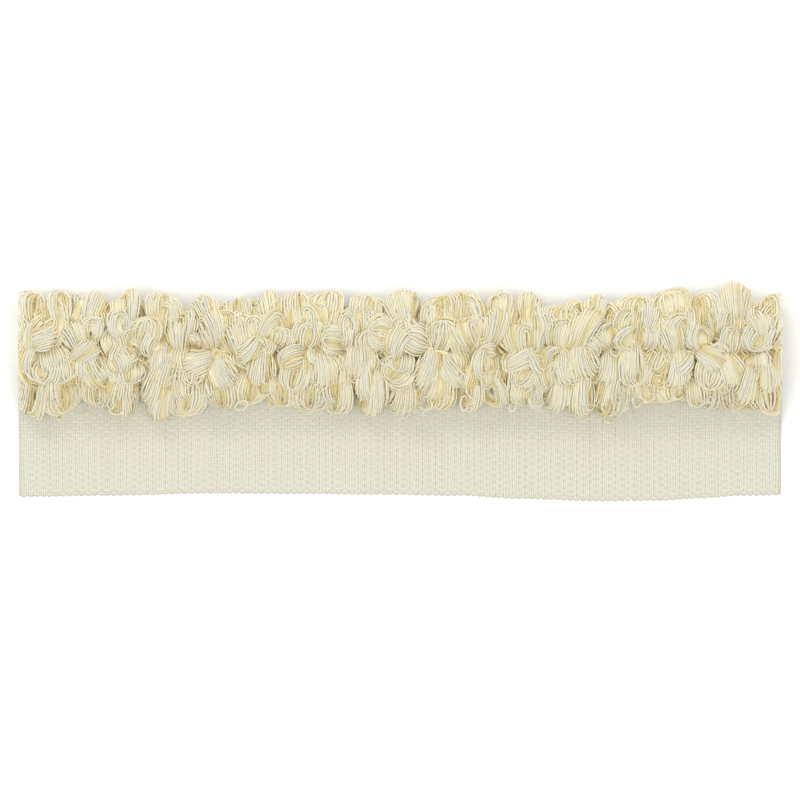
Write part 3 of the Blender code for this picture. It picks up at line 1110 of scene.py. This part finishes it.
def make_tape(finishes):
    """The flange tape: a thin ground sheet, and the warp and weft yarns woven over and under each other."""
    warps = int((tape_edge(0.0) + WOVEN_TO) / WARP_PITCH)
    picks = int(LENGTH / PICK_PITCH)
    first_pick = -(picks - 1) / 2 * PICK_PITCH
    steady = np.random.default_rng(SEED)

    x = np.linspace(-HALF, HALF, 2 * picks + 1)
    paths = []
    for order in range(warps):
        y = warp_y(x, order, warps) + TAPE_YARN_WAVER * np.sin(x * 0.7 + order * 1.3)
        wave = np.cos(math.pi * ((x - first_pick) / PICK_PITCH + order))
        z = tape_height(y) + INTERLACE * (OVER_AND_UNDER * wave - TOWARD_FACE)
        paths.append(np.stack([x, y, z], -1))
    warp = tape_yarns("tape_warp", paths, WARP_HALF_WIDTH, WARP_WIDTHS, steady, finishes["tape"])

    orders = np.concatenate([[PICK_TURN], np.arange(0, warps)])
    paths = []
    for pick in range(picks):
        middle = first_pick + pick * PICK_PITCH + steady.uniform(-PICK_SHIFT, PICK_SHIFT)
        for hand in (-1, 1):
            x = np.full(len(orders), middle + hand * WEFT_OFFSET)
            x[0] = middle
            x = x + TAPE_YARN_WAVER * np.sin(orders * 0.5 + pick)
            y = warp_y(x, orders, warps)
            wave = np.cos(math.pi * (pick + orders))
            z = tape_height(y) + INTERLACE * (TOWARD_FACE - OVER_AND_UNDER * wave)
            paths.append(np.stack([x, y, z], -1))
    weft = tape_yarns("tape_weft", paths, WEFT_HALF_WIDTH, WEFT_WIDTHS, steady, finishes["tape"])

    ground = make_ground(finishes["ground"])
    for piece in (ground, warp, weft):
        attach(piece, "root")
        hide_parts("flange_tape")
    cut_width = (float(tape_edge(0.0)) + TAPE_HEAD + CUT_FOR_RISE) * MM


def make_ground(finish):
    """The tape's ground as one closed thin sheet between its two faces of yarn."""
    xs = np.linspace(-HALF + GROUND_END_INSET, HALF - GROUND_END_INSET, GROUND_LINES)
    shares = np.linspace(0, 1, GROUND_POINTS)
    rise = UP * GROUND_THICKNESS / 2
    lines = []
    for x in xs:
        edge = tape_edge(x)
        y = -edge + GROUND_INSET + (TAPE_HEAD + edge - GROUND_INSET) * shares
        lines.append(np.stack([np.full(len(y), x), y, tape_height(y)], -1))
    sheet = np.concatenate(lines)
    points = np.concatenate([sheet + rise, sheet - rise])
    return add_mesh("tape_ground", place(points), closed_sheet(len(xs), len(shares), 0), finish)


def make_stage():
    """A pale floor, soft light from all round and from three lamps, and the camera straight above."""
    bpy.ops.mesh.primitive_plane_add(size=FLOOR_SIZE, location=(0.0, 0.0, 0.0))
    floor = bpy.context.object
    floor.name = "floor"
    floor.data.materials.append(new_material(
        "pale_floor", {"Base Color": FLOOR_COLOUR, "Roughness": FLOOR_ROUGHNESS}))

    scene = bpy.context.scene
    world = bpy.data.worlds.new("studio")
    world.use_nodes = True
    world.node_tree.nodes["Background"].inputs["Color"].default_value = (1.0, 1.0, 1.0, 1.0)
    world.node_tree.nodes["Background"].inputs["Strength"].default_value = WORLD_STRENGTH
    scene.world = world

    for values in named_rows(LAMPS, LAMP_COLUMNS):
        lamp = bpy.data.lights.new(values["name"], "AREA")
        lamp.size = values["side"]
        lamp.energy = values["energy"]
        stand = bpy.data.objects.new(values["name"], lamp)
        stand.location = values["place"]
        stand.rotation_euler = (-stand.location).to_track_quat("-Z", "Y").to_euler()
        scene.collection.objects.link(stand)

    lens = bpy.data.cameras.new("camera")
    lens.sensor_width = SENSOR_WIDTH
    lens.lens = lens.sensor_width * VIEW_DISTANCE / VIEW_WIDTH
    lens.clip_start = VIEW_FROM
    eye = bpy.data.objects.new("camera", lens)
    eye.location = (0.0, VIEW_Y, VIEW_DISTANCE)
    scene.collection.objects.link(eye)
    scene.camera = eye
    scene.view_settings.view_transform = "Standard"
    scene.cycles.diffuse_bounces = DIFFUSE_BOUNCES
    scene.cycles.max_bounces = ALL_BOUNCES


def main():
    finishes = {}
    for key, row in FINISHES.items():
        finishes[key] = cloth_material(**dict(zip(FINISH_COLUMNS, row)))
    make_tape(finishes)
    make_ruche(finishes)
    make_stage()


main()
